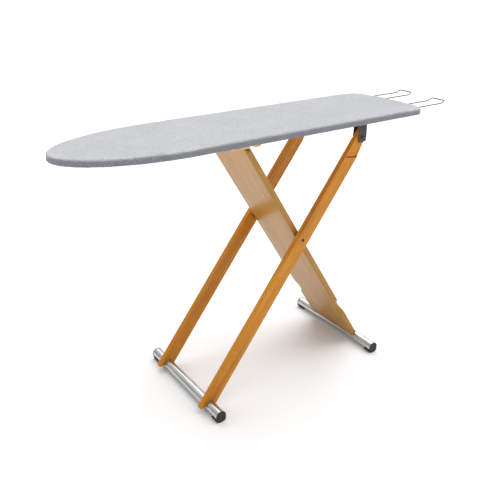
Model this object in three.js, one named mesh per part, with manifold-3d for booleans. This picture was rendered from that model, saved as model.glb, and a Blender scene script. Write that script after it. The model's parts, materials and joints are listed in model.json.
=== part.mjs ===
// Wooden ironing board on scissor legs: a padded board, two side bars hinged under its square end,
// and a wide centre panel that crosses between the bars. Millimetres, +Z up, nose towards -X.
// Right is the -Y side and left the +Y side, seen by someone standing at the nose.
import * as THREE from 'three';
import * as BufferGeometryUtils from 'three/addons/utils/BufferGeometryUtils.js';
import Module from 'manifold-3d';

const wasm = await Module();
wasm.setup();

// ---- driving dimensions -------------------------------------------------------------------
const GAP = 0.3; // between pieces that touch
const degrees = THREE.MathUtils.degToRad;

// Board, measured from the axis of the front foot tube.
const BOARD_TOP = 900;
const BOARD_HALF_WIDTH = 178.5;
const NOSE_TIP_X = -390;
const NOSE_END_X = -20; // where the half-ellipse of the nose meets the straight sides
const SQUARE_END_X = 905;
const CORNER_RADIUS = 56;
const END_BOW = 5;
const COVER_THICKNESS = 1.2;
const COVER_CHAMFER = 4; // stands for the cloth's soft edge
const DECK_CHAMFER = 3;
const PAD_INSET = 5;
const COVER_HEM = 20; // how far the cover turns in under the deck
const PAD_THICKNESS = 2.2;
const DECK_THICKNESS = 15;

// Leg geometry. Both frames are drawn folded flat and turned to their standing angles.
const BAR_ANGLE = degrees(52.2);
const PANEL_ANGLE = degrees(58.6);
const FOOT_AXIS_Z = 21.3; // height of both foot tubes' axes
const FOOT_DISTANCE = 1017.4; // bracket pin to front foot tube, along the bar
const FOOT_DROP = -9.7; // and square to it
const CROSSING_DISTANCE = 398.5; // bracket pin to the crossing, along the bar
const CROSSING_DROP = -3;

const BAR_WIDTH_UP = 19.5; // from the pin to the bar's upper face
const BAR_WIDTH_DOWN = 29.5; // and to its lower face
const BAR_INNER_Y = 131.5;
const BAR_THICKNESS = 20;

const PANEL_HALF_WIDTH = 118;
const PANEL_THICKNESS = 20.7;
const PANEL_RISE = 5; // mid-plane of the panel above the crossing axis
const PANEL_HEAD = 412; // crossing to the panel's upper end
const SCALLOP_X = CROSSING_DISTANCE + 2; // the panel's side scallops clear the bracket bolts
const SCALLOP_DEPTH = 17;
const SCALLOP_LENGTH = 88;

const TUBE_RADIUS = 17.5;
const TUBE_WALL = 1.5;
const FRONT_TUBE_LENGTH = 435;
const REAR_TUBE_LENGTH = 425;
const CAP_THICKNESS = 4;
const CAP_RADIUS = 18.1;
const CAP_PLUG_LENGTH = 20;
const PAD_LENGTH = 30; // rubber tongue of a cap under its tube
const PAD_RADIUS = 22.5;

const BRACKET_INNER_Y = 127.5;
const BRACKET_OUTER_Y = 155;
const BRACKET_SHEET = 2.5;
const BRACKET_LENGTH = 36;
const BRACKET_BELOW_PIN = 16;

const RACK_INNER_Y = 119;
const RACK_THICKNESS = 11;
const RACK_BOTTOM_Z = 858;
const RACK_START_X = 110.8;
const RACK_TOOTH = 15.2; // flat of a tooth at the nose end
const NOTCH_DEPTH = 9;
const NOTCH_LENGTH = 21;
const NOTCH_PITCH = 46.8;
const RACK_END_X = 215;

const WIRE_RADIUS = 2;
const WIRE_INNER_Y = 60;
const WIRE_OUTER_Y = 121;
const WIRE_Z = 888.5;
const WIRE_SHANK = 245; // from the open ends to where the loop turns up
const WIRE_TURN_UP = [14, 9];
const WIRE_BORE_END_X = 640;
const RIGHT_WIRE_KNEE_X = 1050; // where the right loop turns up when pulled out as shown
const LEFT_WIRE_KNEE_X = 1073;
const WIRE_STEPS = 64;

// ---- places worked out from them ----------------------------------------------------------
const turned = (x, z, angle) => ({
  x: x * Math.cos(angle) + z * Math.sin(angle),
  z: -x * Math.sin(angle) + z * Math.cos(angle),
});
const footFromPin = turned(-FOOT_DISTANCE, FOOT_DROP, -BAR_ANGLE);
const PIN = { x: -footFromPin.x, z: FOOT_AXIS_Z - footFromPin.z };
const crossingFromPin = turned(-CROSSING_DISTANCE, CROSSING_DROP, -BAR_ANGLE);
const CROSSING_Z = PIN.z + crossingFromPin.z;
const PANEL_FOOT = (CROSSING_Z - FOOT_AXIS_Z + PANEL_RISE * Math.cos(PANEL_ANGLE)) / Math.sin(PANEL_ANGLE);
const BAR_OUTER_Y = BAR_INNER_Y + BAR_THICKNESS;
const PAD_TOP = BOARD_TOP - COVER_THICKNESS - GAP;
const DECK_TOP = PAD_TOP - PAD_THICKNESS - GAP;
const DECK_BOTTOM = DECK_TOP - DECK_THICKNESS;
const COVER_BOTTOM = DECK_BOTTOM - GAP - COVER_THICKNESS;
const UNDER_DECK = DECK_BOTTOM - GAP;
const ORIGIN_X = (NOSE_TIP_X + LEFT_WIRE_KNEE_X + WIRE_TURN_UP[0] + WIRE_RADIUS) / 2;

// ---- materials ----------------------------------------------------------------------------
const material = (color, roughness, metalness = 0) =>
  new THREE.MeshStandardMaterial({ color, roughness, metalness });
const cottonGrey = () => material(0xc2c4c9, 0.95);
const felt = () => material(0xe6e2d8, 1);
const plywood = () => material(0xd9b98a, 0.7);
const paleBeech = () => material(0xd8b58c, 0.6);
const varnishedBeech = () => material(0xb9782f, 0.35);
const varnishedPly = () => material(0xb98a52, 0.35);
const satinAluminium = () => material(0xb9bbb8, 0.35, 1);
const blackRubber = () => material(0x171615, 0.75);
const oliveSteel = () => material(0x45463c, 0.5, 0.6);
const blackSteel = () => material(0x2b2a27, 0.45, 0.8);
const fibre = () => material(0x6e3a20, 0.8);
const zincSteel = () => material(0x9a9b94, 0.4, 1);
const springSteel = () => material(0x8d8c86, 0.3, 1);

// ---- solids -------------------------------------------------------------------------------
function solid(geometry) {
  const bare = geometry.index ? geometry.toNonIndexed() : geometry.clone();
  bare.deleteAttribute('normal');
  bare.deleteAttribute('uv');
  const merged = BufferGeometryUtils.mergeVertices(bare, 1e-4);
  return new wasm.Manifold(new wasm.Mesh({
    numProp: 3,
    vertProperties: new Float32Array(merged.attributes.position.array),
    triVerts: new Uint32Array(merged.index.array),
  }));
}

function geometryOf(body) {
  const { vertProperties, triVerts } = body.getMesh();
  const geometry = new THREE.BufferGeometry();
  geometry.setAttribute('position', new THREE.BufferAttribute(new Float32Array(vertProperties), 3));
  geometry.setIndex(new THREE.BufferAttribute(new Uint32Array(triVerts), 1));
  geometry.computeVertexNormals();
  return geometry;
}

const cut = (geometry, ...tools) =>
  geometryOf(tools.reduce((body, tool) => body.subtract(solid(tool)), solid(geometry)));
const join = (geometry, ...others) =>
  geometryOf(others.reduce((body, other) => body.add(solid(other)), solid(geometry)));

function piece(name, geometry, finish) {
  const mesh = new THREE.Mesh(geometry, finish);
  mesh.name = name;
  return mesh;
}

// A cylinder whose axis runs along x, y or z, from one coordinate to the other.
function rod(axis, radius, from, to, segments = 20) {
  const geometry = new THREE.CylinderGeometry(radius, radius, Math.abs(to - from), segments);
  if (axis === 'x') geometry.rotateZ(-Math.PI / 2);
  if (axis === 'z') geometry.rotateX(Math.PI / 2);
  const middle = (from + to) / 2;
  return geometry.translate(axis === 'x' ? middle : 0, axis === 'y' ? middle : 0, axis === 'z' ? middle : 0);
}

function block(x0, x1, y0, y1, z0, z1) {
  const geometry = new THREE.BoxGeometry(x1 - x0, y1 - y0, z1 - z0);
  return geometry.translate((x0 + x1) / 2, (y0 + y1) / 2, (z0 + z1) / 2);
}

// A flat shape in X and Y, given its thickness upwards from z.
function slab(shape, z, thickness, bevel = 0, curveSegments = 14) {
  const geometry = new THREE.ExtrudeGeometry(shape, {
    depth: thickness - 2 * bevel, curveSegments, bevelEnabled: bevel > 0,
    bevelThickness: bevel, bevelSize: bevel, bevelOffset: -bevel, bevelSegments: 1,
  });
  return geometry.translate(0, 0, z + bevel);
}

// A flat shape in X and Z, given its thickness along Y from y0 to y1.
function upright(shape, y0, y1, bevel = 0, curveSegments = 5) {
  const geometry = new THREE.ExtrudeGeometry(shape, {
    depth: y1 - y0 - 2 * bevel, curveSegments, bevelEnabled: bevel > 0,
    bevelThickness: bevel, bevelSize: bevel, bevelOffset: -bevel, bevelSegments: 1,
  });
  return geometry.rotateX(Math.PI / 2).translate(0, y1 - bevel, 0);
}

function polygon(points) {
  return new THREE.Shape(points.map(([x, y]) => new THREE.Vector2(x, y)));
}

// A round-headed screw on the Z axis: the head's seat is at z = 0 and the shank points up.
function screw(length, shankRadius, headRadius, headHeight) {
  const socket = headRadius * 0.42;
  const profile = [
    [0, -headHeight * 0.45], [socket, -headHeight * 0.45], [socket, -headHeight],
    [headRadius * 0.8, -headHeight], [headRadius, -headHeight * 0.6], [headRadius, 0],
    [shankRadius, 0], [shankRadius, length - 2 * shankRadius], [0, length],
  ].map(([r, z]) => new THREE.Vector2(r, z));
  return new THREE.LatheGeometry(profile, 12).rotateX(Math.PI / 2);
}

// ---- padded board -------------------------------------------------------------------------
// Outline in plan: half an ellipse for the nose, straight sides, round corners, bowed square end.
function boardOutline(inset) {
  const half = BOARD_HALF_WIDTH - inset;
  const end = SQUARE_END_X - END_BOW - inset;
  const corner = CORNER_RADIUS - inset;
  const shape = new THREE.Shape();
  shape.moveTo(end - corner, half);
  shape.lineTo(NOSE_END_X, half);
  shape.absellipse(NOSE_END_X, 0, NOSE_END_X - NOSE_TIP_X - inset, half, Math.PI / 2, Math.PI * 1.5);
  shape.lineTo(end - corner, -half);
  shape.quadraticCurveTo(end - 0.12 * corner, -half, end, -half + corner);
  shape.quadraticCurveTo(end + 2 * END_BOW, 0, end, half - corner);
  shape.quadraticCurveTo(end - 0.12 * corner, half, end - corner, half);
  return shape;
}

const wireSides = [-WIRE_OUTER_Y, -WIRE_INNER_Y, WIRE_INNER_Y, WIRE_OUTER_Y];
const wireBores = (radius) => wireSides.map(
  (y) => rod('x', radius, WIRE_BORE_END_X, SQUARE_END_X + 5, 12).translate(0, y, WIRE_Z));

const RACK_SCREW_X = [RACK_START_X + RACK_TOOTH / 2, RACK_END_X - 11];
const RACK_SCREW_Y = RACK_INNER_Y + RACK_THICKNESS / 2;
const BRACKET_X0 = PIN.x - BRACKET_LENGTH / 2 + 1;
const BRACKET_SCREW_X = [BRACKET_X0 + 8, BRACKET_X0 + BRACKET_LENGTH - 8];
const BRACKET_SCREW_Y = (BRACKET_INNER_Y + BRACKET_OUTER_Y) / 2;
const WOOD_SCREW_RADIUS = 2;
const SCREW_INTO_DECK = 11;
const RACK_SCREW_HEAD = 4; // radius
const RACK_SCREW_SUNK = 4; // depth of the counterbore in the rail

function pilotHoles() {
  const holes = [];
  for (const side of [-1, 1]) {
    for (const x of RACK_SCREW_X) holes.push([x, side * RACK_SCREW_Y]);
    for (const x of BRACKET_SCREW_X) holes.push([x, side * BRACKET_SCREW_Y]);
  }
  const tip = DECK_BOTTOM + SCREW_INTO_DECK + 1;
  return holes.map(([x, y]) =>
    rod('z', WOOD_SCREW_RADIUS + GAP, DECK_BOTTOM - 1, tip, 12).translate(x, y, 0));
}

function paddedBoard() {
  const sideInset = COVER_THICKNESS + GAP;
  const height = BOARD_TOP - COVER_BOTTOM;
  const deck = slab(boardOutline(sideInset), DECK_BOTTOM, DECK_THICKNESS, DECK_CHAMFER);
  const pad = slab(boardOutline(PAD_INSET), DECK_TOP + GAP, PAD_THICKNESS);
  const cover = cut(
    slab(boardOutline(0), COVER_BOTTOM, height, COVER_CHAMFER),
    slab(boardOutline(COVER_THICKNESS), COVER_BOTTOM + COVER_THICKNESS, height - 2 * COVER_THICKNESS,
      COVER_CHAMFER - 1),
    slab(boardOutline(COVER_HEM), COVER_BOTTOM - 1, COVER_THICKNESS + 2),
    ...wireBores(WIRE_RADIUS + 1));
  return [
    piece('deck_board', cut(deck, ...wireBores(WIRE_RADIUS + 0.5), ...pilotHoles()), plywood()),
    piece('felt_pad', pad, felt()),
    piece('board_cover', cover, cottonGrey()),
  ];
}

// ---- height rack under the deck ------------------------------------------------------------
// Each notch has an upright flank on its nose side, which stops the panel, and a sloping one behind.
function rackRail(side) {
  const points = [[RACK_START_X, UNDER_DECK], [RACK_START_X, RACK_BOTTOM_Z]];
  for (let notch = 0; notch < 2; notch += 1) {
    const flank = RACK_START_X + RACK_TOOTH + notch * NOTCH_PITCH;
    points.push([flank, RACK_BOTTOM_Z], [flank, RACK_BOTTOM_Z + NOTCH_DEPTH]);
    points.push([flank + NOTCH_LENGTH, RACK_BOTTOM_Z]);
  }
  points.push([RACK_END_X, RACK_BOTTOM_Z], [RACK_END_X, UNDER_DECK]);
  const near = side * RACK_INNER_Y;
  const far = side * (RACK_INNER_Y + RACK_THICKNESS);
  const rail = upright(polygon(points), Math.min(near, far), Math.max(near, far));
  const start = RACK_BOTTOM_Z - 1;
  const bores = RACK_SCREW_X.flatMap((x) => [
    rod('z', WOOD_SCREW_RADIUS + GAP, start, UNDER_DECK + 1, 12).translate(x, side * RACK_SCREW_Y, 0),
    rod('z', RACK_SCREW_HEAD + GAP, start, RACK_BOTTOM_Z + RACK_SCREW_SUNK, 16)
      .translate(x, side * RACK_SCREW_Y, 0),
  ]);
  return cut(rail, ...bores);
}

function heightRack(side, sideName) {
  const seatZ = RACK_BOTTOM_Z + RACK_SCREW_SUNK - GAP;
  const screwLength = DECK_BOTTOM + SCREW_INTO_DECK - seatZ;
  const pieces = [piece(`rack_rail_${sideName}`, rackRail(side), paleBeech())];
  RACK_SCREW_X.forEach((x, index) => {
    const geometry = screw(screwLength, WOOD_SCREW_RADIUS, RACK_SCREW_HEAD, 2.4);
    const mesh = piece(`rack_screw_${sideName}_${index + 1}`, geometry, zincSteel());
    mesh.position.set(x, side * RACK_SCREW_Y, seatZ);
    pieces.push(mesh);
  });
  return pieces;
}

// ---- hinge bracket of each side bar ---------------------------------------------------------
const BOLT_RADIUS = 4;
const BOLT_END_Y = 111;
const NUT_RADIUS = 7.4;
const NUT_HEIGHT = 6.4;

function hingeBracket(side) {
  const x1 = BRACKET_X0 + BRACKET_LENGTH;
  const bottom = PIN.z - BRACKET_BELOW_PIN;
  const ear = new THREE.Shape();
  ear.moveTo(BRACKET_X0, UNDER_DECK);
  ear.lineTo(BRACKET_X0, bottom + 3);
  ear.quadraticCurveTo(BRACKET_X0, bottom, BRACKET_X0 + 3, bottom);
  ear.lineTo(x1 - 6, bottom);
  ear.quadraticCurveTo(x1 - 2, bottom, x1 - 2, bottom + 5);
  ear.lineTo(x1 - 2, bottom + 11);
  ear.lineTo(x1, bottom + 13);
  ear.lineTo(x1, UNDER_DECK);
  const y = [side * BRACKET_INNER_Y, side * BRACKET_OUTER_Y].sort((a, b) => a - b);
  const channel = block(BRACKET_X0 - 5, x1 + 5, y[0] + BRACKET_SHEET, y[1] - BRACKET_SHEET,
    bottom - 5, UNDER_DECK - BRACKET_SHEET);
  const boltHole = rod('y', BOLT_RADIUS + GAP, y[0] - 5, y[1] + 5).translate(PIN.x, 0, PIN.z);
  const screwHoles = BRACKET_SCREW_X.map((x) =>
    rod('z', WOOD_SCREW_RADIUS + GAP, UNDER_DECK - 9, UNDER_DECK + 5, 12)
      .translate(x, side * BRACKET_SCREW_Y, 0));
  return cut(upright(ear, y[0], y[1], 0.4), channel, boltHole, ...screwHoles);
}

// Bolt along +Y from its domed head; its axis is the hinge of the side bar.
function bracketBolt() {
  const head = BRACKET_OUTER_Y + GAP;
  const end = BOLT_END_Y;
  const profile = [
    [0, end], [BOLT_RADIUS - 0.8, end], [BOLT_RADIUS, end + 1], [BOLT_RADIUS, head], [6, head],
    [6, head + 1], [4.8, head + 2.4], [2.2, head + 3], [2.2, head + 1.8], [0, head + 1.8],
  ].map(([r, y]) => new THREE.Vector2(r, y));
  return new THREE.LatheGeometry(profile, 20);
}

function bracketNut() {
  const nut = new THREE.CylinderGeometry(NUT_RADIUS, NUT_RADIUS, NUT_HEIGHT, 6)
    .translate(0, BRACKET_INNER_Y - GAP - NUT_HEIGHT / 2, 0);
  return cut(nut, rod('y', BOLT_RADIUS + GAP, BOLT_END_Y, BRACKET_OUTER_Y));
}

function hinge(side, sideName) {
  const bracket = piece(`hinge_bracket_${sideName}`, hingeBracket(side), oliveSteel());
  const bolt = piece(`hinge_bolt_${sideName}`, bracketBolt(), blackSteel());
  const nut = piece(`hinge_nut_${sideName}`, bracketNut(), blackSteel());
  for (const mesh of [bolt, nut]) {
    mesh.position.set(PIN.x, 0, PIN.z);
    if (side < 0) mesh.rotation.z = Math.PI;
  }
  const seatZ = UNDER_DECK - BRACKET_SHEET - GAP;
  const screws = BRACKET_SCREW_X.map((x, index) => {
    const geometry = screw(DECK_BOTTOM + SCREW_INTO_DECK - seatZ, WOOD_SCREW_RADIUS, 3.8, 1.6);
    const mesh = piece(`bracket_screw_${sideName}_${index + 1}`, geometry, zincSteel());
    mesh.position.set(x, side * BRACKET_SCREW_Y, seatZ);
    return mesh;
  });
  return [bracket, bolt, nut, ...screws];
}

// ---- wire iron rests ------------------------------------------------------------------------
// A hairpin of round wire lying along X; its closed end turns up. Its knee is at x = 0.
function wireHairpin(halfSpan) {
  const [run, rise] = WIRE_TURN_UP;
  const stations = [
    [-WIRE_SHANK, -halfSpan, 0], [0, -halfSpan, 0], [run, -halfSpan, rise],
    [run, halfSpan, rise], [0, halfSpan, 0], [-WIRE_SHANK, halfSpan, 0],
  ].map(([x, y, z]) => new THREE.Vector3(x, y, z));
  const bendStart = [0, 6, 9, 9, 6, 0];
  const path = new THREE.CurvePath();
  let from = stations[0];
  for (let i = 1; i < stations.length - 1; i += 1) {
    const before = stations[i].clone().sub(stations[i - 1]).setLength(bendStart[i]);
    const after = stations[i + 1].clone().sub(stations[i]).setLength(bendStart[i]);
    const entry = stations[i].clone().sub(before);
    const exit = stations[i].clone().add(after);
    path.add(new THREE.LineCurve3(from, entry));
    path.add(new THREE.QuadraticBezierCurve3(entry, stations[i], exit));
    from = exit;
  }
  path.add(new THREE.LineCurve3(from, stations[5]));
  const section = new THREE.Shape().absarc(0, 0, WIRE_RADIUS, 0, Math.PI * 2);
  return new THREE.ExtrudeGeometry(section, { extrudePath: path, steps: WIRE_STEPS, curveSegments: 4 });
}

function ironRest(sideName, side, kneeX) {
  const halfSpan = (WIRE_OUTER_Y - WIRE_INNER_Y) / 2;
  const mesh = piece(`iron_rest_${sideName}`, wireHairpin(halfSpan), springSteel());
  mesh.position.set(kneeX, side * (WIRE_INNER_Y + halfSpan), WIRE_Z);
  return mesh;
}

// ---- foot tubes ------------------------------------------------------------------------------
// Both are drawn along Y with the floor straight below, so their rubber tongues lie flat on it.
function footTube(length) {
  const ring = new THREE.Shape().absarc(0, 0, TUBE_RADIUS, 0, Math.PI * 2);
  ring.holes.push(new THREE.Path().absarc(0, 0, TUBE_RADIUS - TUBE_WALL, 0, Math.PI * 2, true));
  return upright(ring, -length / 2, length / 2, 0, 20);
}

// End cap for the +Y end of a tube: a disc, a plug inside the tube and a tongue under it.
function footCap() {
  const plugRadius = TUBE_RADIUS - TUBE_WALL - GAP;
  const profile = [
    [0, -CAP_PLUG_LENGTH], [plugRadius - 1, -CAP_PLUG_LENGTH], [plugRadius, 1 - CAP_PLUG_LENGTH],
    [plugRadius, GAP], [CAP_RADIUS, GAP], [CAP_RADIUS, CAP_THICKNESS - 1.2],
    [CAP_RADIUS - 1.2, CAP_THICKNESS], [0, CAP_THICKNESS],
  ].map(([r, y]) => new THREE.Vector2(r, y));
  const reach = degrees(52);
  const crescent = new THREE.Shape();
  crescent.absarc(0, 0, PAD_RADIUS, -Math.PI / 2 - reach, -Math.PI / 2 + reach);
  crescent.absarc(0, 0, TUBE_RADIUS + GAP, -Math.PI / 2 + reach, -Math.PI / 2 - reach, true);
  const tongue = upright(crescent, -PAD_LENGTH, CAP_THICKNESS - 0.6, 0.6, 8);
  const tie = rod('y', TUBE_RADIUS + 2, GAP, CAP_THICKNESS - 1, 24);
  const sole = block(-40, 40, -60, 60, -60, -FOOT_AXIS_Z);
  const tieLimit = block(-40, 40, -60, 60, -8, 60);
  return cut(join(new THREE.LatheGeometry(profile, 24), tongue, cut(tie, tieLimit)), sole);
}

function addFoot(group, name, length, tubeGeometry, screwGeometries) {
  group.add(piece(`foot_tube_${name}`, tubeGeometry, satinAluminium()));
  for (const [side, sideName] of [[1, 'left'], [-1, 'right']]) {
    const cap = piece(`foot_cap_${name}_${sideName}`, footCap(), blackRubber());
    cap.position.y = side * length / 2;
    if (side < 0) cap.rotation.z = Math.PI;
    group.add(cap);
  }
  screwGeometries.forEach((geometry, index) => {
    group.add(piece(`foot_screw_${name}_${index + 1}`, geometry, zincSteel()));
  });
}

const FOOT_SCREW_RADIUS = 2.5;

// Screws through the tube wall, along the leg that stands on the tube at the given angle.
function legScrew(y, angle, length) {
  const geometry = screw(length, FOOT_SCREW_RADIUS, 5, 2.2).translate(0, 0, -TUBE_RADIUS - GAP);
  return geometry.rotateY(angle).translate(0, y, 0);
}

function legScrewBore(y, angle, from, to) {
  return rod('z', FOOT_SCREW_RADIUS + GAP, from, to, 16).rotateY(angle).translate(0, y, 0);
}

// ---- side bars ---------------------------------------------------------------------------------
// Drawn folded flat with the bracket pin at the origin and the foot towards -X.
const BAR_HEAD = 34;
const FOOT_SCREW_LENGTH = 92;
const CROSSING_BOLT_RADIUS = 3;
const CROSSING_HEAD_RADIUS = 6;
const CROSSING_HEAD_HEIGHT = 3.6;
const SPACER_RADIUS = 7.5;
const GROOVE_X = -87; // upper end of the groove in a bar's outer face, from the bracket pin
const GROOVE_Z = 17.2;
const GROOVE_ANGLE = degrees(60);
const GROOVE_LENGTH = 50;
const GROOVE_WIDTH = 6.2;
const GROOVE_DEPTH = 4.5;

function barOutline() {
  const lowerFoot = -FOOT_DISTANCE - 60;
  const shape = new THREE.Shape();
  shape.moveTo(lowerFoot, -BAR_WIDTH_DOWN);
  shape.lineTo(-70, -BAR_WIDTH_DOWN);
  shape.lineTo(-24, -BAR_WIDTH_UP - 1.5);
  shape.lineTo(-6, -BAR_WIDTH_UP);
  shape.quadraticCurveTo(3, -BAR_WIDTH_UP, 9, -BAR_WIDTH_UP + 6);
  shape.lineTo(BAR_HEAD - 5, 0);
  shape.quadraticCurveTo(BAR_HEAD, 4, BAR_HEAD, 9);
  shape.lineTo(BAR_HEAD, BAR_WIDTH_UP - 7);
  shape.quadraticCurveTo(BAR_HEAD, BAR_WIDTH_UP, BAR_HEAD - 7, BAR_WIDTH_UP);
  shape.lineTo(lowerFoot, BAR_WIDTH_UP);
  return shape;
}

function sideBar(side) {
  const y = [side * BAR_INNER_Y, side * BAR_OUTER_Y].sort((a, b) => a - b);
  const middle = (y[0] + y[1]) / 2;
  const outer = side * BAR_OUTER_Y;
  // The foot end is sawn level through the tube's axis when the leg stands.
  const level = block(-150, 150, y[0] - 5, y[1] + 5, -150, 0).rotateY(BAR_ANGLE)
    .translate(-FOOT_DISTANCE, 0, FOOT_DROP);
  const saddle = rod('y', TUBE_RADIUS + GAP, y[0] - 5, y[1] + 5, 40).translate(-FOOT_DISTANCE, 0, FOOT_DROP);
  const screwBore = legScrewBore(middle, Math.PI / 2, 0, FOOT_SCREW_LENGTH - TUBE_RADIUS)
    .translate(-FOOT_DISTANCE, 0, FOOT_DROP);
  const hingeBore = rod('y', BOLT_RADIUS + GAP, y[0] - 5, y[1] + 5);
  const crossingBore = rod('y', CROSSING_BOLT_RADIUS + GAP, y[0] - 5, y[1] + 5)
    .translate(-CROSSING_DISTANCE, 0, CROSSING_DROP);
  const seat = outer - side * (CROSSING_HEAD_HEIGHT + 2 * GAP);
  const counterbore = rod('y', CROSSING_HEAD_RADIUS + GAP, seat, outer + side * 5, 24)
    .translate(-CROSSING_DISTANCE, 0, CROSSING_DROP);
  // A short saw groove crosses the outer face near the top and runs out at the lower edge.
  const half = GROOVE_WIDTH / 2;
  const groove = block(0, GROOVE_LENGTH, -GROOVE_DEPTH, GROOVE_DEPTH, -half, half)
    .rotateY(GROOVE_ANGLE).translate(GROOVE_X, outer, GROOVE_Z);
  return cut(upright(barOutline(), y[0], y[1], 1.4),
    level, saddle, screwBore, hingeBore, crossingBore, counterbore, groove);
}

function crossingSpacer(side) {
  const y = [side * (PANEL_HALF_WIDTH + GAP), side * (BAR_INNER_Y - GAP)].sort((a, b) => a - b);
  const bore = rod('y', CROSSING_BOLT_RADIUS + GAP, y[0] - 5, y[1] + 5);
  return cut(rod('y', SPACER_RADIUS, y[0], y[1], 24), bore);
}

function sideBars() {
  const frame = new THREE.Group();
  for (const [side, sideName] of [[1, 'left'], [-1, 'right']]) {
    frame.add(piece(`side_bar_${sideName}`, sideBar(side), varnishedBeech()));
    const spacer = piece(`crossing_spacer_${sideName}`, crossingSpacer(side), fibre());
    spacer.position.set(-CROSSING_DISTANCE, 0, CROSSING_DROP);
    frame.add(spacer);
  }
  const foot = new THREE.Group();
  foot.position.set(-FOOT_DISTANCE, 0, FOOT_DROP);
  foot.rotation.y = BAR_ANGLE;
  const barMiddle = (BAR_INNER_Y + BAR_OUTER_Y) / 2;
  const tilt = Math.PI / 2 - BAR_ANGLE;
  const screwYs = [barMiddle, -barMiddle];
  const bores = screwYs.map((y) => legScrewBore(y, tilt, -TUBE_RADIUS - 5, TUBE_RADIUS + 5));
  const screws = screwYs.map((y) => legScrew(y, tilt, FOOT_SCREW_LENGTH));
  addFoot(foot, 'front', FRONT_TUBE_LENGTH, cut(footTube(FRONT_TUBE_LENGTH), ...bores), screws);
  frame.add(foot);
  return frame;
}

// ---- centre panel --------------------------------------------------------------------------------
// Drawn folded flat with the crossing axis at the origin, its head towards -X and its foot towards +X.
const CROSSING_BOLT_END_Y = 72;
const PANEL_TENON = 6; // how far the panel passes the rear tube's axis, inside the tube
const CATCH_PIN_RADIUS = 4;
const CATCH_PIN_FROM_HEAD = 20.3;
const CATCH_PIN_X = CATCH_PIN_FROM_HEAD - PANEL_HEAD;
const CATCH_PIN_INNER_Y = 90;
const CATCH_PIN_OUTER_Y = 124;
const PANEL_SCREW_YS = [85, 0, -85];
const PANEL_SCREW_LENGTH = 70;

function panelOutline() {
  const foot = PANEL_FOOT + PANEL_TENON;
  const half = SCALLOP_LENGTH / 2;
  const dip = PANEL_HALF_WIDTH - SCALLOP_DEPTH;
  const [rimStart, rimEnd] = [SCALLOP_X - half * 0.5, SCALLOP_X + half * 0.5];
  const [dipStart, dipEnd] = [SCALLOP_X - half * 0.62, SCALLOP_X + half * 0.62];
  const shape = new THREE.Shape();
  shape.moveTo(-PANEL_HEAD, -PANEL_HALF_WIDTH);
  shape.lineTo(SCALLOP_X - half, -PANEL_HALF_WIDTH);
  shape.bezierCurveTo(rimStart, -PANEL_HALF_WIDTH, dipStart, -dip, SCALLOP_X, -dip);
  shape.bezierCurveTo(dipEnd, -dip, rimEnd, -PANEL_HALF_WIDTH, SCALLOP_X + half, -PANEL_HALF_WIDTH);
  shape.lineTo(foot, -PANEL_HALF_WIDTH);
  shape.lineTo(foot, PANEL_HALF_WIDTH);
  shape.lineTo(SCALLOP_X + half, PANEL_HALF_WIDTH);
  shape.bezierCurveTo(rimEnd, PANEL_HALF_WIDTH, dipEnd, dip, SCALLOP_X, dip);
  shape.bezierCurveTo(dipStart, dip, rimStart, PANEL_HALF_WIDTH, SCALLOP_X - half, PANEL_HALF_WIDTH);
  shape.lineTo(-PANEL_HEAD, PANEL_HALF_WIDTH);
  return shape;
}

function centrePanel() {
  const blank = slab(panelOutline(), PANEL_RISE - PANEL_THICKNESS / 2, PANEL_THICKNESS, 1.4, 6);
  const boltBores = [-1, 1].map((side) =>
    rod('y', CROSSING_BOLT_RADIUS + GAP, side * (CROSSING_BOLT_END_Y - 1), side * (PANEL_HALF_WIDTH + 5)));
  const screwBores = PANEL_SCREW_YS.map((y) =>
    rod('x', FOOT_SCREW_RADIUS + GAP, PANEL_FOOT + TUBE_RADIUS - PANEL_SCREW_LENGTH - 1, PANEL_FOOT + 30, 16)
      .translate(0, y, PANEL_RISE));
  const pinBores = [-1, 1].map((side) =>
    rod('y', CATCH_PIN_RADIUS + GAP, side * (CATCH_PIN_INNER_Y - GAP), side * (PANEL_HALF_WIDTH + 5))
      .translate(CATCH_PIN_X, 0, PANEL_RISE));
  return cut(blank, ...boltBores, ...screwBores, ...pinBores);
}

// Socket-head bolt along Y: its head sits in the bar and its shank turns in bar and spacer.
function crossingBolt(side) {
  const head = BAR_OUTER_Y - GAP;
  const seat = head - CROSSING_HEAD_HEIGHT;
  const bolt = join(rod('y', CROSSING_HEAD_RADIUS, side * seat, side * head, 24),
    rod('y', CROSSING_BOLT_RADIUS, side * CROSSING_BOLT_END_Y, side * (seat + 1)));
  return cut(bolt, rod('y', 2.9, side * (head - 2.2), side * (head + 5), 6));
}

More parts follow.
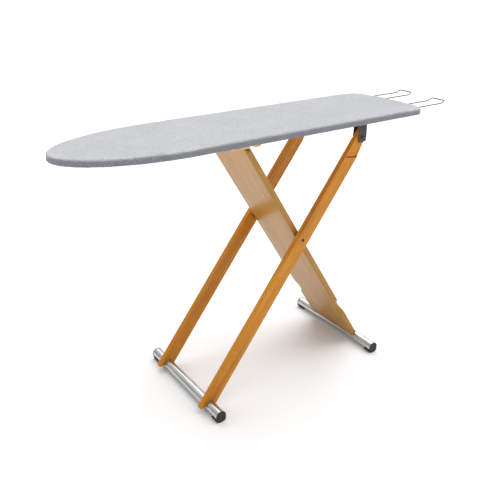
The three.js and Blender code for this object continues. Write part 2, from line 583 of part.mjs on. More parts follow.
function centrePanelFrame() {
  const frame = new THREE.Group();
  frame.position.set(-CROSSING_DISTANCE, 0, CROSSING_DROP);
  frame.rotation.y = BAR_ANGLE + PANEL_ANGLE;
  frame.add(piece('centre_panel', centrePanel(), varnishedPly()));
  for (const [side, sideName] of [[1, 'left'], [-1, 'right']]) {
    frame.add(piece(`crossing_bolt_${sideName}`, crossingBolt(side), oliveSteel()));
    const pin = rod('y', CATCH_PIN_RADIUS, side * CATCH_PIN_INNER_Y, side * CATCH_PIN_OUTER_Y);
    const catchPin = piece(`catch_pin_${sideName}`, pin, fibre());
    catchPin.position.set(CATCH_PIN_X, 0, PANEL_RISE);
    frame.add(catchPin);
  }

  const foot = new THREE.Group();
  foot.position.set(PANEL_FOOT, 0, PANEL_RISE);
  foot.rotation.y = -PANEL_ANGLE;
  const tilt = PANEL_ANGLE - Math.PI / 2;
  const slotHalf = PANEL_THICKNESS / 2 + GAP;
  const slot = block(-slotHalf, slotHalf, -PANEL_HALF_WIDTH - GAP, PANEL_HALF_WIDTH + GAP, 0, TUBE_RADIUS + 5)
    .rotateY(tilt);
  const bores = PANEL_SCREW_YS.map((y) => legScrewBore(y, tilt, -TUBE_RADIUS - 5, 0));
  const screws = PANEL_SCREW_YS.map((y) => legScrew(y, tilt, PANEL_SCREW_LENGTH));
  addFoot(foot, 'rear', REAR_TUBE_LENGTH, cut(footTube(REAR_TUBE_LENGTH), slot, ...bores), screws);
  frame.add(foot);
  return frame;
}

// ---- the whole ironing board, its origin on the floor below the middle of its length -----------
const ironingBoard = new THREE.Group();
ironingBoard.position.x = -ORIGIN_X;
ironingBoard.add(...paddedBoard());
for (const [side, sideName] of [[1, 'left'], [-1, 'right']]) {
  ironingBoard.add(...heightRack(side, sideName), ...hinge(side, sideName));
}
ironingBoard.add(ironRest('left', 1, LEFT_WIRE_KNEE_X), ironRest('right', -1, RIGHT_WIRE_KNEE_X));

const legs = sideBars();
legs.position.set(PIN.x, 0, PIN.z);
legs.rotation.y = -BAR_ANGLE;
legs.add(centrePanelFrame());
ironingBoard.add(legs);

export default ironingBoard;
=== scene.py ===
import json
import math

import bmesh
import bpy
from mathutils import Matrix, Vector, noise

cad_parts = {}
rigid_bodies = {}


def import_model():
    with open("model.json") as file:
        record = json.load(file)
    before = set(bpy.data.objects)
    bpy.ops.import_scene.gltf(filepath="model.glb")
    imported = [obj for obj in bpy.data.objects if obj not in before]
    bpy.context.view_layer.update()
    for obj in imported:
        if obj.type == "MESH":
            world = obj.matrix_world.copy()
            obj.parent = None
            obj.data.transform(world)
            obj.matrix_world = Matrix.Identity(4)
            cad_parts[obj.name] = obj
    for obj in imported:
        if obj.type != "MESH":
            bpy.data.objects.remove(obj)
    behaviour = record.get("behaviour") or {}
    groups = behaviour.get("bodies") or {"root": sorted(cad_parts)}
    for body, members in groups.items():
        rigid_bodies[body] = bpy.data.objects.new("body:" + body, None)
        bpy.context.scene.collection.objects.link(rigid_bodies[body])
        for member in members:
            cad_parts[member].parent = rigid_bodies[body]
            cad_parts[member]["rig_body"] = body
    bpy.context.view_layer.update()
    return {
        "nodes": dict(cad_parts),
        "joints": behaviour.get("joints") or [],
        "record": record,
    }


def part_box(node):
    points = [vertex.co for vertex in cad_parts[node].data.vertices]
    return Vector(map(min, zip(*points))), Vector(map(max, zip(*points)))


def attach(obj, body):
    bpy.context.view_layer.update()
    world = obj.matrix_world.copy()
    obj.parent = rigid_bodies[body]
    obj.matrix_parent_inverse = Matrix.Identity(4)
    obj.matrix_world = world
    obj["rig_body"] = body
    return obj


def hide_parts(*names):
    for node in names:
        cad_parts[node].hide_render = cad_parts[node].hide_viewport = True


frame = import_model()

JOINTS = {joint["name"]: joint for joint in frame["joints"]}
SLOT_OF = {part["node"]: part["material_slot"] for part in frame["record"]["subparts"]}
BAR_ANGLE = math.radians(JOINTS["legs_fold"]["range_deg"][1])
PANEL_ANGLE = -math.radians(JOINTS["panel_fold"]["range_deg"][0]) - BAR_ANGLE
MM = 0.001


# ---- camera, floor and light ---------------------------------------------------------------
CAMERA_SENSOR = 36  # millimetres
CAMERA_LENS = 46.365
CAMERA_SHIFT_Y = -0.1
CAMERA_YAW = math.radians(34.955)
CAMERA_PITCH = math.radians(20.324)
CAMERA_X_FROM_FRONT_FOOT = -0.8911
CAMERA_Y = -1.6545
CAMERA_Z = 1.3823
CLIP_END = 200
FLOOR_HALF_SIZE = 80
SUN_TOWARD = Vector((0.45, 0.18, 0.88))
SUN_STRENGTH = 2.3
SUN_SPREAD = math.radians(80)  # very wide, like a ceiling of diffusers
SKY_STRENGTH = 0.98
HORIZON_COLOUR = (0.16, 0.165, 0.17, 1)
ZENITH_COLOUR = (0.97, 0.985, 1.0, 1)
ZENITH_START = 0.75  # height in the sky above which it is all zenith colour


def make_camera():
    data = bpy.data.cameras.new("camera")
    data.sensor_width = CAMERA_SENSOR
    data.lens = CAMERA_LENS
    data.shift_y = CAMERA_SHIFT_Y
    data.clip_end = CLIP_END
    camera = bpy.data.objects.new("camera", data)
    bpy.context.scene.collection.objects.link(camera)
    level = math.cos(CAMERA_PITCH)
    ahead = Vector((math.sin(CAMERA_YAW) * level, math.cos(CAMERA_YAW) * level, -math.sin(CAMERA_PITCH)))
    low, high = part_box("foot_tube_front")
    camera.location = ((low[0] + high[0]) / 2 + CAMERA_X_FROM_FRONT_FOOT, CAMERA_Y, CAMERA_Z)
    camera.rotation_euler = ahead.to_track_quat("-Z", "Y").to_euler()
    bpy.context.scene.camera = camera


def make_sun():
    data = bpy.data.lights.new("overhead_light", "SUN")
    data.energy = SUN_STRENGTH
    data.angle = SUN_SPREAD
    light = bpy.data.objects.new("overhead_light", data)
    light.rotation_euler = (-SUN_TOWARD).to_track_quat("-Z", "Y").to_euler()
    bpy.context.scene.collection.objects.link(light)


def make_studio():
    scene = bpy.context.scene
    scene.view_settings.view_transform = "Standard"
    world = bpy.data.worlds.new("studio")
    scene.world = world
    world.use_nodes = True
    nodes, links = world.node_tree.nodes, world.node_tree.links
    direction = nodes.new("ShaderNodeTexCoord")
    height = nodes.new("ShaderNodeSeparateXYZ")
    links.new(direction.outputs["Generated"], height.inputs["Vector"])
    fade = nodes.new("ShaderNodeValToRGB")
    fade.color_ramp.elements[0].position = 0.0
    fade.color_ramp.elements[0].color = HORIZON_COLOUR
    fade.color_ramp.elements[1].position = ZENITH_START
    fade.color_ramp.elements[1].color = ZENITH_COLOUR
    links.new(height.outputs["Z"], fade.inputs["Fac"])
    links.new(fade.outputs["Color"], nodes["Background"].inputs["Color"])
    nodes["Background"].inputs["Strength"].default_value = SKY_STRENGTH

    size = FLOOR_HALF_SIZE
    mesh = bpy.data.meshes.new("floor")
    corners = [(-size, -size, 0), (size, -size, 0), (size, size, 0), (-size, size, 0)]
    mesh.from_pydata(corners, [], [(0, 1, 2, 3)])
    floor = bpy.data.objects.new("floor", mesh)
    scene.collection.objects.link(floor)
    tree = Tree("studio_floor")
    tree.set(tree.shader, {"Base Color": (0.88, 0.88, 0.88, 1), "Roughness": 0.9, "Specular IOR Level": 0.1})
    mesh.materials.append(tree.material)
    make_sun()


# ---- material building ------------------------------------------------------------------------
class Tree:
    """A material's node tree with short ways to add and join nodes."""

    def __init__(self, name):
        self.material = bpy.data.materials.new(name)
        self.material.use_nodes = True
        self.nodes = self.material.node_tree.nodes
        self.links = self.material.node_tree.links
        self.shader = self.nodes["Principled BSDF"]

    def set(self, node, values):
        for key, value in values.items():
            node.inputs[key].default_value = value
        return node

    def add(self, kind, values=None, **settings):
        node = self.nodes.new(kind)
        for key, value in settings.items():
            setattr(node, key, value)
        return self.set(node, values or {})

    def join(self, output, target):
        self.links.new(output, target)

    def place(self, scale, angle=0.0):
        """Object coordinates, turned about Y so that the grain runs along X, then scaled."""
        if not hasattr(self, "coordinates"):
            self.coordinates = self.add("ShaderNodeTexCoord").outputs["Object"]
        mapping = self.add("ShaderNodeMapping", {"Rotation": (0, angle, 0)})
        self.join(self.coordinates, mapping.inputs["Vector"])
        stretch = self.add("ShaderNodeVectorMath", {1: scale}, operation="MULTIPLY")
        self.join(mapping.outputs["Vector"], stretch.inputs[0])
        return stretch.outputs["Vector"]

    def noise(self, vector, scale=1.0, detail=3.0, roughness=0.5, distortion=0.0):
        node = self.add("ShaderNodeTexNoise", {
            "Scale": scale, "Detail": detail, "Roughness": roughness, "Distortion": distortion})
        self.join(vector, node.inputs["Vector"])
        return node.outputs["Fac"]

    def wave(self, vector, axis, scale, distortion=0.0):
        node = self.add("ShaderNodeTexWave", {"Scale": scale, "Distortion": distortion, "Detail": 1},
                        bands_direction=axis)
        self.join(vector, node.inputs["Vector"])
        return node.outputs["Fac"]

    def ramp(self, value, stops):
        node = self.add("ShaderNodeValToRGB")
        elements = node.color_ramp.elements
        while len(elements) < len(stops):
            elements.new(0.5)
        for element, (position, colour) in zip(elements, stops):
            element.position = position
            element.color = (*colour, 1) if len(colour) == 3 else colour
        self.join(value, node.inputs["Fac"])
        return node.outputs["Color"]

    def colour(self, value, stops):
        """Colours the surface by a ramp over the value."""
        self.join(self.ramp(value, stops), self.shader.inputs["Base Color"])

    def math(self, operation, a, b):
        node = self.add("ShaderNodeMath", operation=operation)
        for socket, value in zip(node.inputs, (a, b)):
            if isinstance(value, (int, float)):
                socket.default_value = value
            else:
                self.join(value, socket)
        return node.outputs["Value"]

    def span(self, value, low, high):
        """Stretches a 0 to 1 value between two limits."""
        return self.math("ADD", self.math("MULTIPLY", value, high - low), low)

    def mix(self, blend, factor, a, b):
        node = self.add("ShaderNodeMix", data_type="RGBA", blend_type=blend)
        if isinstance(factor, (int, float)):
            node.inputs[0].default_value = factor
        else:
            self.join(factor, node.inputs[0])
        for socket, value in zip((node.inputs[6], node.inputs[7]), (a, b)):
            if isinstance(value, tuple):
                socket.default_value = (*value, 1)
            else:
                self.join(value, socket)
        return node.outputs[2]

    def bump(self, height, strength, distance):
        node = self.add("ShaderNodeBump", {"Strength": strength, "Distance": distance})
        self.join(height, node.inputs["Height"])
        if self.shader.inputs["Normal"].is_linked:
            self.join(self.shader.inputs["Normal"].links[0].from_socket, node.inputs["Normal"])
        self.join(node.outputs["Normal"], self.shader.inputs["Normal"])


def cotton():
    """Grey cotton: plain weave, slubs, neps and a fibre sheen; painted shade darkens its sides against the
    top and darkens its creases.
    """
    t = Tree("grey_cotton")
    thread = t.place((1.0, 1.0, 1.0))
    weave_scale = 420
    warp = t.wave(thread, "X", weave_scale, 0.6)
    weft = t.wave(thread, "Y", weave_scale, 0.6)
    rise = t.wave(thread, "Z", weave_scale, 0.6)
    weave = t.math("ADD", t.math("MULTIPLY", warp, weft), t.math("MULTIPLY", rise, 0.5))
    slub = t.noise(t.place((160, 700, 700)), detail=2, roughness=0.7)
    cross_slub = t.noise(t.place((700, 160, 700)), detail=2, roughness=0.7)
    cloud = t.noise(t.place((9, 9, 9)), detail=4, roughness=0.6)
    mottled_grey = t.ramp(cloud, [(0.3, (0.455, 0.460, 0.474)), (0.7, (0.512, 0.516, 0.526))])
    # painted shade: the colour darkens as the surface turns from facing up to facing sideways, so the sides
    # look shaded next to the top
    upward = t.add("ShaderNodeSeparateXYZ")
    t.join(t.add("ShaderNodeTexCoord").outputs["Normal"], upward.inputs["Vector"])
    painted_side_shade = t.ramp(upward.outputs["Z"], [(0.1, (0.50, 0.515, 0.54)), (0.9, (1, 1, 1))])
    nep = t.noise(t.place((330, 330, 330)), detail=2, roughness=0.6)
    flecks = t.ramp(
        nep, [(0.32, (0.74, 0.74, 0.75)), (0.5, (0.98, 0.98, 0.98)), (0.68, (1.2, 1.2, 1.19))])
    # painted shade: the colour darkens where ambient occlusion finds creases and recesses in the cloth
    recess = t.add("ShaderNodeAmbientOcclusion", {"Distance": 0.007}, only_local=True)
    painted_crease_shade = t.ramp(recess.outputs["AO"], [(0.45, (0.45, 0.46, 0.48)), (0.85, (1, 1, 1))])
    mottle_and_side_shade = t.mix("MULTIPLY", 1.0, mottled_grey, painted_side_shade)
    base = t.mix("MULTIPLY", 1.0, t.mix("MULTIPLY", 1.0, mottle_and_side_shade, painted_crease_shade), flecks)
    fibres = t.ramp(t.math("MULTIPLY", t.math("ADD", slub, cross_slub), 0.5),
                    [(0.34, (0.70, 0.70, 0.715)), (0.5, (0.98, 0.98, 0.98)), (0.66, (1.22, 1.22, 1.21))])
    shaded = t.mix("MULTIPLY", 1.0, base, fibres)
    gaps = t.ramp(weave, [(0.0, (0.86, 0.86, 0.87)), (0.6, (1, 1, 1))])
    t.join(t.mix("MULTIPLY", 1.0, shaded, gaps), t.shader.inputs["Base Color"])
    t.set(t.shader, {
        "Roughness": 0.94, "Specular IOR Level": 0.2, "Sheen Weight": 0.25, "Sheen Roughness": 0.5})
    t.bump(weave, 0.35, 0.0003)
    t.bump(t.math("ADD", slub, cross_slub), 0.25, 0.0004)
    t.bump(t.noise(t.place((26, 34, 26)), detail=2), 0.2, 0.003)
    return t.material


def felt():
    t = Tree("needled_felt")
    tangle = t.noise(t.place((300, 300, 300)), detail=5, roughness=0.75, distortion=1.5)
    t.colour(tangle, [(0.3, (0.62, 0.60, 0.53)), (0.7, (0.80, 0.78, 0.72))])
    t.set(t.shader, {"Roughness": 1.0, "Specular IOR Level": 0.1})
    t.bump(tangle, 0.6, 0.0008)
    return t.material


def wood(name, angle, tones, gloss, ray_fleck=0.35):
    """Beech with the grain along the given slope: growth bands, pores, short ray flecks, varnish and painted
    shade in its grooves and recesses.

    tones are the dark, middle and light colours; gloss is the varnish coat's weight."""
    dark, middle, light = tones
    t = Tree(name)
    bands = t.noise(t.place((1.6, 26, 26), angle), detail=4, roughness=0.55, distortion=0.8)
    streaks = t.noise(t.place((5, 170, 170), angle), detail=3, roughness=0.6)
    pores = t.noise(t.place((60, 900, 900), angle), detail=1, roughness=0.5)
    flecks = t.noise(t.place((210, 620, 620), angle), detail=1, roughness=0.5)
    stain = t.noise(t.place((2.2, 5, 5), angle), detail=2, roughness=0.5)
    figure = t.math("ADD", t.math("MULTIPLY", bands, 0.55), t.math("MULTIPLY", streaks, 0.45))
    base = t.ramp(figure, [(0.32, dark), (0.5, middle), (0.68, light)])
    fleck_tone = t.ramp(flecks, [(0.34, (0.55, 0.42, 0.34)), (0.42, (1, 1, 1))])
    flecked = t.mix("MULTIPLY", ray_fleck, base, fleck_tone)
    pored = t.mix("MULTIPLY", 0.45, flecked, t.ramp(pores, [(0.30, (0.5, 0.4, 0.32)), (0.45, (1, 1, 1))]))
    stain_tone = t.ramp(stain, [(0.3, (0.90, 0.87, 0.84)), (0.7, (1.06, 1.05, 1.03))])
    toned = t.mix("MULTIPLY", 1.0, pored, stain_tone)
    # painted shade: the colour darkens where ambient occlusion finds grooves and recesses in the wood
    recess = t.add("ShaderNodeAmbientOcclusion", {"Distance": 0.006}, only_local=True)
    painted_recess_shade = t.ramp(recess.outputs["AO"], [(0.25, (0.22, 0.15, 0.10)), (0.7, (1, 1, 1))])
    t.join(t.mix("MULTIPLY", 1.0, toned, painted_recess_shade), t.shader.inputs["Base Color"])
    t.join(t.span(streaks, 0.30, 0.48), t.shader.inputs["Roughness"])
    t.set(t.shader, {"Specular IOR Level": 0.2, "Coat Weight": gloss, "Coat Roughness": 0.14})
    t.bump(pores, 0.12, 0.0002)
    t.bump(streaks, 0.10, 0.0004)
    t.bump(t.noise(t.place((14, 40, 40), angle), detail=1), 0.06, 0.002)
    return t.material


def plywood():
    """Raw face veneer of the deck, open grain across long sweeps."""
    t = Tree("plywood_face")
    sweep = t.wave(t.place((0.35, 3.2, 1.0)), "Y", 2.4, 9.0)
    grain = t.noise(t.place((5, 130, 20)), detail=4, roughness=0.6)
    pores = t.noise(t.place((50, 800, 100)), detail=1)
    figure = t.math("ADD", t.math("MULTIPLY", sweep, 0.35), t.math("MULTIPLY", grain, 0.65))
    base = t.ramp(figure, [(0.2, (0.42, 0.27, 0.13)), (0.5, (0.60, 0.42, 0.23)), (0.8, (0.72, 0.55, 0.34))])
    t.join(t.mix("MULTIPLY", 0.5, base, t.ramp(pores, [(0.3, (0.6, 0.5, 0.4)), (0.45, (1, 1, 1))])),
           t.shader.inputs["Base Color"])
    t.set(t.shader, {"Roughness": 0.72, "Specular IOR Level": 0.3})
    t.bump(grain, 0.2, 0.0005)
    return t.material


def metal(name, light, dark, roughness, stretch, streak=0.2):
    """Bare metal whose drawing or brushing lines follow the stretched texture space."""
    t = Tree(name)
    lines = t.noise(t.place(stretch), detail=3, roughness=0.65)
    cloud = t.noise(t.place((35, 35, 35)), detail=3)
    t.join(t.mix("MIX", cloud, dark, light), t.shader.inputs["Base Color"])
    t.join(t.span(lines, roughness[0], roughness[1]), t.shader.inputs["Roughness"])
    t.set(t.shader, {"Metallic": 1.0})
    t.bump(lines, streak, 0.0001)
    return t.material


def rubber():
    t = Tree("black_rubber")
    grain = t.noise(t.place((900, 900, 900)), detail=2)
    dust = t.noise(t.place((45, 45, 45)), detail=4, roughness=0.65)
    t.colour(dust, [(0.35, (0.018, 0.015, 0.013)), (0.75, (0.052, 0.045, 0.040))])
    t.join(t.span(dust, 0.5, 0.78), t.shader.inputs["Roughness"])
    t.set(t.shader, {"Specular IOR Level": 0.4})
    t.bump(grain, 0.3, 0.0003)
    return t.material


def fibre_with_gap_shade():
    # the spacer is a fibre washer, but its dark red-brown is picked as painted shade standing for the shadow
    # in the gap between the panel and the bar
    t = Tree("brown_fibre")
    layers = t.noise(t.place((90, 900, 90)), detail=3)
    t.colour(layers, [(0.3, (0.12, 0.035, 0.014)), (0.7, (0.22, 0.075, 0.03))])
    t.set(t.shader, {"Roughness": 0.75})
    t.bump(layers, 0.2, 0.0003)
    return t.material


def lacquered_steel():
    """Olive-grey lacquer on sheet steel, a little orange peel and rubbed patches."""
    t = Tree("olive_lacquer")
    peel = t.noise(t.place((380, 380, 380)), detail=2)
    rub = t.noise(t.place((60, 60, 110)), detail=5, roughness=0.7)
    t.colour(rub, [
        (0.35, (0.046, 0.045, 0.033)), (0.62, (0.064, 0.062, 0.047)), (0.78, (0.12, 0.115, 0.095))])
    t.join(t.span(rub, 0.55, 0.35), t.shader.inputs["Roughness"])
    t.set(t.shader, {"Metallic": 0.3})
    t.bump(peel, 0.15, 0.0003)
    return t.material


def make_materials():
    beech = ((0.44, 0.155, 0.008), (0.63, 0.245, 0.016), (0.76, 0.340, 0.034))
    panel = ((0.35, 0.163, 0.024), (0.46, 0.230, 0.040), (0.55, 0.305, 0.065))
    pale = ((0.70, 0.44, 0.22), (0.88, 0.60, 0.34), (0.95, 0.72, 0.46))
    zinc = metal("zinc_plating", (0.60, 0.60, 0.55), (0.42, 0.42, 0.38), (0.30, 0.5), (250, 250, 250))
    return {
        "cotton_cover": cotton(),
        "felt_padding": felt(),
        "plywood_deck": plywood(),
        "pale_beech": wood("pale_beech", 0.0, pale, 0.0),
        "varnished_beech": wood("varnished_beech", BAR_ANGLE, beech, 0.14),
        "varnished_ply": wood("varnished_panel", -PANEL_ANGLE, panel, 0.25, 0.25),
        "satin_aluminium": metal(
            "satin_aluminium", (0.66, 0.655, 0.635), (0.52, 0.515, 0.495), (0.19, 0.31), (700, 5, 700)),
        "black_rubber": rubber(),
        "olive_steel": lacquered_steel(),
        "zinc_steel": zinc,
        "black_steel": metal(
            "black_steel", (0.09, 0.088, 0.08), (0.05, 0.048, 0.043), (0.3, 0.5), (250, 250, 250)),
        "brown_fibre": fibre_with_gap_shade(),
        "spring_steel": metal(
            "spring_steel", (0.14, 0.13, 0.11), (0.08, 0.075, 0.065), (0.3, 0.5), (30, 600, 600)),
    }


# ---- mesh helpers -----------------------------------------------------------------------------
WELD_DISTANCE = 0.02 * MM
WOOD_BEVEL = 0.5 * MM
METAL_BEVEL = 0.25 * MM
WOODEN_SLOTS = ("varnished_beech", "varnished_ply", "pale_beech", "plywood_deck")


def new_piece(name, mesh, body, slot, replaced=()):
    piece = bpy.data.objects.new(name, mesh)
    bpy.context.scene.collection.objects.link(piece)
    mesh.materials.clear()
    mesh.materials.append(MATERIALS[slot])
    for node in replaced:
        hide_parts(node)
    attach(piece, body)
    return piece


def mesh_from(name, bm, sharp_degrees=35):
    """The mesh of bm, shaded smooth except across edges sharper than the angle."""
    for face in bm.faces:
        face.smooth = True
    for edge in bm.edges:
        edge.smooth = len(edge.link_faces) == 2 and edge.calc_face_angle(0) < math.radians(sharp_degrees)
    mesh = bpy.data.meshes.new(name)
    bm.to_mesh(mesh)
    bm.free()
    return mesh


def finished(node, bevel, sharp_degrees=35):
    """A machined copy of a CAD node: same shape, coplanar facets joined, arrises eased."""
    bm = bmesh.new()
    bm.from_mesh(frame["nodes"][node].data)
    bmesh.ops.remove_doubles(bm, verts=bm.verts, dist=WELD_DISTANCE)
    bmesh.ops.dissolve_limit(bm, angle_limit=math.radians(0.6), verts=bm.verts, edges=bm.edges)
    mesh = mesh_from(node + "_finished", bm, sharp_degrees)
    body = frame["nodes"][node]["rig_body"]
    piece = new_piece(node + "_finished", mesh, body, SLOT_OF[node], [node])
    easing = piece.modifiers.new("eased_arrises", "BEVEL")
    easing.width = bevel
    easing.segments = 2
    easing.limit_method = "ANGLE"
    easing.angle_limit = math.radians(sharp_degrees)
    easing.harden_normals = True


# ---- the board's outline in plan ----------------------------------------------------------------
COVER_LOW, COVER_HIGH = (Vector(corner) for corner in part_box("board_cover"))
HALF_WIDTH = COVER_HIGH.y
NOSE_LENGTH = 370 * MM
CORNER_RADIUS = 56 * MM
END_BOW = 5 * MM


def quadratic(a, b, c, count):
    for i in range(count):
        t = i / count
        yield a * (1 - t) ** 2 + b * 2 * t * (1 - t) + c * t ** 2


def board_outline(count):
    """Evenly spaced (point, outward normal) pairs round the board, starting at the nose tip."""
    nose_x = COVER_LOW.x + NOSE_LENGTH
    end_x = COVER_HIGH.x - END_BOW
    nose = [Vector((nose_x - NOSE_LENGTH * math.cos(a), -HALF_WIDTH * math.sin(a)))
            for a in (i * math.pi / 2 / 200 for i in range(200))]
    side_end = Vector((end_x - CORNER_RADIUS, -HALF_WIDTH))
    corner_end = Vector((end_x, -HALF_WIDTH + CORNER_RADIUS))
    corner = list(quadratic(side_end, Vector((end_x - 0.12 * CORNER_RADIUS, -HALF_WIDTH)), corner_end, 40))
    end_control = Vector((end_x + 2 * END_BOW, 0))
    end = list(quadratic(corner_end, end_control, Vector((end_x, HALF_WIDTH - CORNER_RADIUS)), 80))
    half = nose + [Vector((nose_x, -HALF_WIDTH))] + corner + end[:41]
    loop = half + [Vector((p.x, -p.y)) for p in reversed(half[1:-1])]
    lengths = [0.0]
    for i, point in enumerate(loop):
        lengths.append(lengths[-1] + (loop[(i + 1) % len(loop)] - point).length)
    points, index = [], 0
    for k in range(count):
        target = lengths[-1] * k / count
        while lengths[index + 1] < target:
            index += 1
        share = (target - lengths[index]) / (lengths[index + 1] - lengths[index])
        points.append(loop[index].lerp(loop[(index + 1) % len(loop)], share))
    pairs = []
    for k, point in enumerate(points):
        along = points[(k + 1) % count] - points[k - 1]
        pairs.append((point, Vector((along.y, -along.x)).normalized()))
    return pairs, lengths[-1]


# ---- cotton cover ------------------------------------------------------------------------------
COVER_POINTS = 960  # round the outline
COVER_RINGS = 14  # from the spine of the top to its rim
CLOTH_THICKNESS = 0.7 * MM
EDGE_RADIUS = 5 * MM
HEM_RADIUS = 3 * MM
HEM_WIDTH = 19 * MM
HEM_ROLL_RADIUS = 1.5 * MM
FOLDS_PER_METRE = 75
PUCKERS_PER_METRE = 165
SLACK_PER_METRE = 11
GATHER_FADE_START = 0.12  # behind the end of the nose
GATHER_FADE_LENGTH = 0.3
SETTLE_FRAMES = 12
SETTLE_PRESSURE = 1.5
SETTLE_CAP = 1.4 * MM
HELD_HEIGHT = 1.0 * MM


def cover_profile():
    """(inset, height, looseness) from the rounded top edge to the hem's inner edge."""
    top, bottom = COVER_HIGH.z, COVER_LOW.z
    rows = []
    for i in range(6):
        a = i / 5 * math.pi / 2
        rows.append((EDGE_RADIUS * (1 - math.sin(a)), top - EDGE_RADIUS * (1 - math.cos(a)), 0.1 * i / 5))
    wall = top - bottom - EDGE_RADIUS - HEM_RADIUS
    for i in range(1, 5):
        rows.append((0, top - EDGE_RADIUS - wall * i / 4, 0.1 + 0.9 * i / 4))
    for i in range(1, 4):
        a = i / 3 * math.pi / 2
        rows.append((HEM_RADIUS * (1 - math.cos(a)), bottom + HEM_RADIUS * (1 - math.sin(a)), 1.0))
    for i in range(1, 5):
        rows.append((HEM_RADIUS + (HEM_WIDTH - HEM_RADIUS) * i / 4, bottom, 1.0))
    return rows


def gather(distance, nose_share):
    """How far the loose cloth stands off at this distance round the edge: tight folds at the nose."""
    fold = noise.noise(Vector((distance * FOLDS_PER_METRE, 3.1, 0)))
    pucker = noise.noise(Vector((distance * PUCKERS_PER_METRE, 7.7, 0)))
    slack = noise.noise(Vector((distance * SLACK_PER_METRE, 1.3, 0)))
    gathered = max(1.0 + 2.3 * fold + 2.1 * pucker, 0)
    return (gathered * nose_share + 0.3 + 0.45 * slack) * MM


def cover_mesh():
    pairs, length = board_outline(COVER_POINTS)
    nose_x = COVER_LOW.x + NOSE_LENGTH
    spine_low = COVER_LOW.x + HALF_WIDTH * 0.8
    spine_high = COVER_HIGH.x - HALF_WIDTH * 0.9
    bm = bmesh.new()
    rows = []
    for i in range(COVER_RINGS):
        ring = []
        for point, normal in pairs:
            rim = point - normal * EDGE_RADIUS
            spine = Vector((min(max(rim.x, spine_low), spine_high), 0))
            spot = spine.lerp(rim, i / COVER_RINGS)
            ring.append(bm.verts.new((spot.x, spot.y, COVER_HIGH.z)))
        rows.append(ring)
    for inset, height, loose in cover_profile():
        ring = []
        for k, (point, normal) in enumerate(pairs):
            nose_share = min(max((nose_x + GATHER_FADE_START - point.x) / GATHER_FADE_LENGTH, 0), 1)
            stand = gather(length * k / COVER_POINTS, nose_share) * loose
            under = inset > HEM_RADIUS
            spot = point - normal * (inset - (0 if under else stand))
            ring.append(bm.verts.new((spot.x, spot.y, height + (stand if under else 0))))
        rows.append(ring)
    for outer, inner in zip(rows[1:], rows[:-1]):
        for k in range(COVER_POINTS):
            n = (k + 1) % COVER_POINTS
            bm.faces.new((inner[k], inner[n], outer[n], outer[k]))
    hem_edge = [vert.co.copy() for vert in rows[-1]]
    bmesh.ops.remove_doubles(bm, verts=bm.verts, dist=0.0004)
    bmesh.ops.dissolve_degenerate(bm, dist=0.0001, edges=bm.edges)
    bmesh.ops.recalc_face_normals(bm, faces=bm.faces)
    return bm, hem_edge


def settle(piece):
    """Lets the cloth swell and buckle outwards a little, its hem held."""
    mesh = piece.data
    group = piece.vertex_groups.new(name="held")
    hem_top = COVER_LOW.z + HELD_HEIGHT
    group.add([vert.index for vert in mesh.vertices if vert.co.z < hem_top], 1.0, "REPLACE")
    cloth = piece.modifiers.new("cloth", "CLOTH")
    settings = cloth.settings
    settings.quality = 5
    settings.mass = 0.15
    settings.tension_stiffness = 20
    settings.compression_stiffness = 12
    settings.bending_stiffness = 0.6
    settings.shrink_min = -0.006
    settings.use_pressure = True
    settings.uniform_pressure_force = SETTLE_PRESSURE
    settings.effector_weights.gravity = 0
    settings.vertex_group_mass = "held"
    cloth.point_cache.frame_end = SETTLE_FRAMES
    for step in range(1, SETTLE_FRAMES + 1):
        bpy.context.scene.frame_set(step)
    settled = piece.evaluated_get(bpy.context.evaluated_depsgraph_get())
    normals = [vert.normal.copy() for vert in mesh.vertices]
    for vert, moved, normal in zip(mesh.vertices, settled.data.vertices, normals):
        shift = moved.co - vert.co
        shift -= normal * min(shift.dot(normal), 0)
        if shift.length > SETTLE_CAP:
            shift.length = SETTLE_CAP
        vert.co = vert.co + shift
    piece.modifiers.remove(cloth)
    piece.vertex_groups.remove(group)
    bpy.context.scene.frame_set(1)


def swept(name, path, radius, sides, closed=False):
    """A round tube of mesh along a list of points."""
    bm = bmesh.new()
    count = len(path)
    rings = []
    normal = None
    for i, point in enumerate(path):
        ahead = path[(i + 1) % count] if closed or i < count - 1 else point
        behind = path[i - 1] if closed or i > 0 else point
        tangent = (ahead - behind).normalized()
        if normal is None:
            normal = tangent.orthogonal().normalized()
        normal = (normal - tangent * normal.dot(tangent)).normalized()
        side = tangent.cross(normal)
        rings.append([bm.verts.new(point + (normal * math.cos(a) + side * math.sin(a)) * radius)
                      for a in (2 * math.pi * k / sides for k in range(sides))])
    for i in range(count if closed else count - 1):
        a, b = rings[i], rings[(i + 1) % count]
        for k in range(sides):
            n = (k + 1) % sides
            bm.faces.new((a[k], a[n], b[n], b[k]))
    if not closed:
        bm.faces.new(list(reversed(rings[0])))
        bm.faces.new(rings[-1])
    bmesh.ops.recalc_face_normals(bm, faces=bm.faces)
    return mesh_from(name, bm, 60)


WIRE_RADIUS = 2 * MM
WIRE_HOLE_RADIUS = 3.2 * MM
WIRE_TURN_RUN = 14 * MM
BUTTONHOLE_RADIUS = 3.5 * MM
BUTTONHOLE_STITCHES = 18
BUTTONHOLE_POINTS = 72
THREAD_RADIUS = 0.55 * MM
WIRE_SIDES = [-121 * MM, -60 * MM, 60 * MM, 121 * MM]
WIRE_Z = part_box("iron_rest_left")[0][2] + WIRE_RADIUS


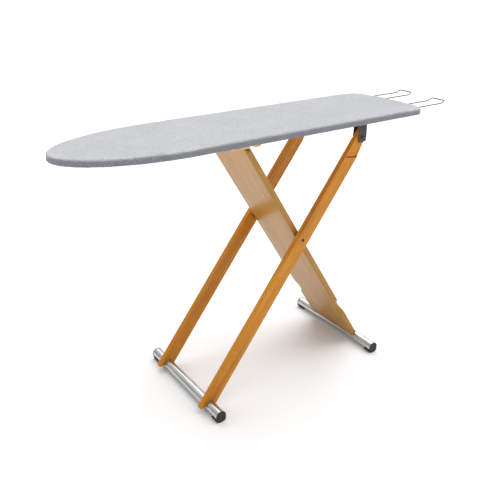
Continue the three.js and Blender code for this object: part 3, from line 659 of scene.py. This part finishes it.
def bore_cover(piece):
    """Cuts the four holes that the wires pass through."""
    for y in WIRE_SIDES:
        path = [Vector((COVER_HIGH.x - 0.03, y, WIRE_Z)), Vector((COVER_HIGH.x + 0.02, y, WIRE_Z))]
        cutter = bpy.data.objects.new("cutter", swept("cutter", path, WIRE_HOLE_RADIUS, 20))
        bpy.context.scene.collection.objects.link(cutter)
        hole = piece.modifiers.new("hole", "BOOLEAN")
        hole.object = cutter
        hole.solver = "EXACT"
        apply_modifiers(piece)
        bpy.data.objects.remove(cutter)


def apply_modifiers(piece):
    graph = bpy.context.evaluated_depsgraph_get()
    result = bpy.data.meshes.new_from_object(piece.evaluated_get(graph), depsgraph=graph)
    piece.modifiers.clear()
    old = piece.data
    piece.data = result
    bpy.data.meshes.remove(old)


def make_cover():
    bm, hem_edge = cover_mesh()
    mesh = mesh_from("cotton_cover_sewn", bm, 80)
    piece = new_piece("cotton_cover_sewn", mesh, "board", "cotton_cover", ["board_cover"])
    settle(piece)
    cloth = piece.modifiers.new("cloth_thickness", "SOLIDIFY")
    cloth.thickness = CLOTH_THICKNESS
    cloth.offset = -1
    apply_modifiers(piece)
    bore_cover(piece)
    for polygon in piece.data.polygons:
        polygon.use_smooth = True

    hem = new_piece("cover_hem_roll", hem_roll(hem_edge), "board", "cotton_cover")
    for index, y in enumerate(WIRE_SIDES):
        buttonhole(index, y)


def hem_roll(edge):
    """The rolled, elasticated edge of the cover on the underside."""
    path = [co + Vector((0, 0, 0.35 * MM * math.sin(i * 1.7))) for i, co in enumerate(edge)]
    return swept("cover_hem_roll", path, HEM_ROLL_RADIUS, 8, closed=True)


def buttonhole(index, y):
    """Overcast thread round one wire hole: a ring that ripples once for each stitch."""
    edge_x = end_edge_x(y)
    path = []
    for i in range(BUTTONHOLE_POINTS):
        a = 2 * math.pi * i / BUTTONHOLE_POINTS
        r = BUTTONHOLE_RADIUS + 0.25 * MM * math.cos(a * BUTTONHOLE_STITCHES)
        path.append(Vector((edge_x + 0.35 * MM, y + r * math.cos(a), WIRE_Z + r * math.sin(a))))
    mesh = swept(f"cover_buttonhole_{index + 1}", path, THREAD_RADIUS, 6, closed=True)
    return new_piece(f"cover_buttonhole_{index + 1}", mesh, "board", "cotton_cover")


def end_edge_x(y):
    """Where the square end's outline stands at this y."""
    pairs, _ = board_outline(COVER_POINTS)
    near = [point for point, normal in pairs if normal.x > 0.3]
    return min(near, key=lambda point: abs(point.y - y)).x


# ---- felt pad -----------------------------------------------------------------------------------
PAD_POINTS = 200
PAD_EDGE = [(30 * MM, -1), (7.2 * MM, -1), (5.5 * MM, 0), (7.2 * MM, 1), (30 * MM, 1)]  # inset, side
PAD_RIPPLE = 0.15 * MM


def make_pad():
    """A layer of felt with rounded edges, its faces uneven by a few tenths of a millimetre."""
    low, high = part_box("felt_pad")
    pairs, _ = board_outline(PAD_POINTS)
    bm = bmesh.new()
    middle = (low[2] + high[2]) / 2
    half = (high[2] - low[2]) / 2
    rings = []
    for inset, side in PAD_EDGE:
        rise = side * half
        ring = []
        for point, normal in pairs:
            spot = point - normal * inset
            ripple = PAD_RIPPLE * noise.noise(Vector((spot.x * 25, spot.y * 25, rise * 900)))
            ring.append(bm.verts.new((spot.x, spot.y, middle + rise * 0.9 + ripple)))
        rings.append(ring)
    for a, b in zip(rings[:-1], rings[1:]):
        for k in range(len(a)):
            n = (k + 1) % len(a)
            bm.faces.new((a[k], a[n], b[n], b[k]))
    bm.faces.new(list(reversed(rings[0])))
    bm.faces.new(rings[-1])
    bmesh.ops.recalc_face_normals(bm, faces=bm.faces)
    mesh = mesh_from("felt_pad_soft", bm, 60)
    piece = new_piece("felt_pad_soft", mesh, "board", "felt_padding", ["felt_pad"])


# ---- wire iron rests -----------------------------------------------------------------------------
def make_iron_rest(side_name):
    """A hairpin of spring wire: two strands in the deck and a closed end that turns up."""
    node = f"iron_rest_{side_name}"
    low, high = (Vector(corner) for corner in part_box(node))
    y0, y1 = low.y + WIRE_RADIUS, high.y - WIRE_RADIUS
    tip = high.x - WIRE_RADIUS
    knee = tip - WIRE_TURN_RUN
    crest = high.z - WIRE_RADIUS
    stations = [(low.x, y0, WIRE_Z), (knee, y0, WIRE_Z), (tip, y0, crest),
                (tip, y1, crest), (knee, y1, WIRE_Z), (low.x, y1, WIRE_Z)]
    bends = [0, 7 * MM, 8 * MM, 8 * MM, 7 * MM, 0]
    stations = [Vector(station) for station in stations]
    path = [stations[0]]
    for before, at, after, bend in zip(stations, stations[1:], stations[2:], bends[1:]):
        entry = at + (before - at).normalized() * bend
        exit_ = at + (after - at).normalized() * bend
        path += list(quadratic(entry, at, exit_, 10)) + [exit_]
    path.append(stations[-1])
    new_piece(f"{node}_wire", swept(f"{node}_wire", path, WIRE_RADIUS, 16), node, "spring_steel", [node])


# ---- everything -----------------------------------------------------------------------------------
make_camera()
MATERIALS = make_materials()
make_studio()
make_pad()
for cad_node in frame["nodes"]:
    if cad_node in ("board_cover", "felt_pad") or cad_node.startswith("iron_rest"):
        continue
    finished(cad_node, WOOD_BEVEL if SLOT_OF[cad_node] in WOODEN_SLOTS else METAL_BEVEL)
make_cover()
for side in ("left", "right"):
    make_iron_rest(side)
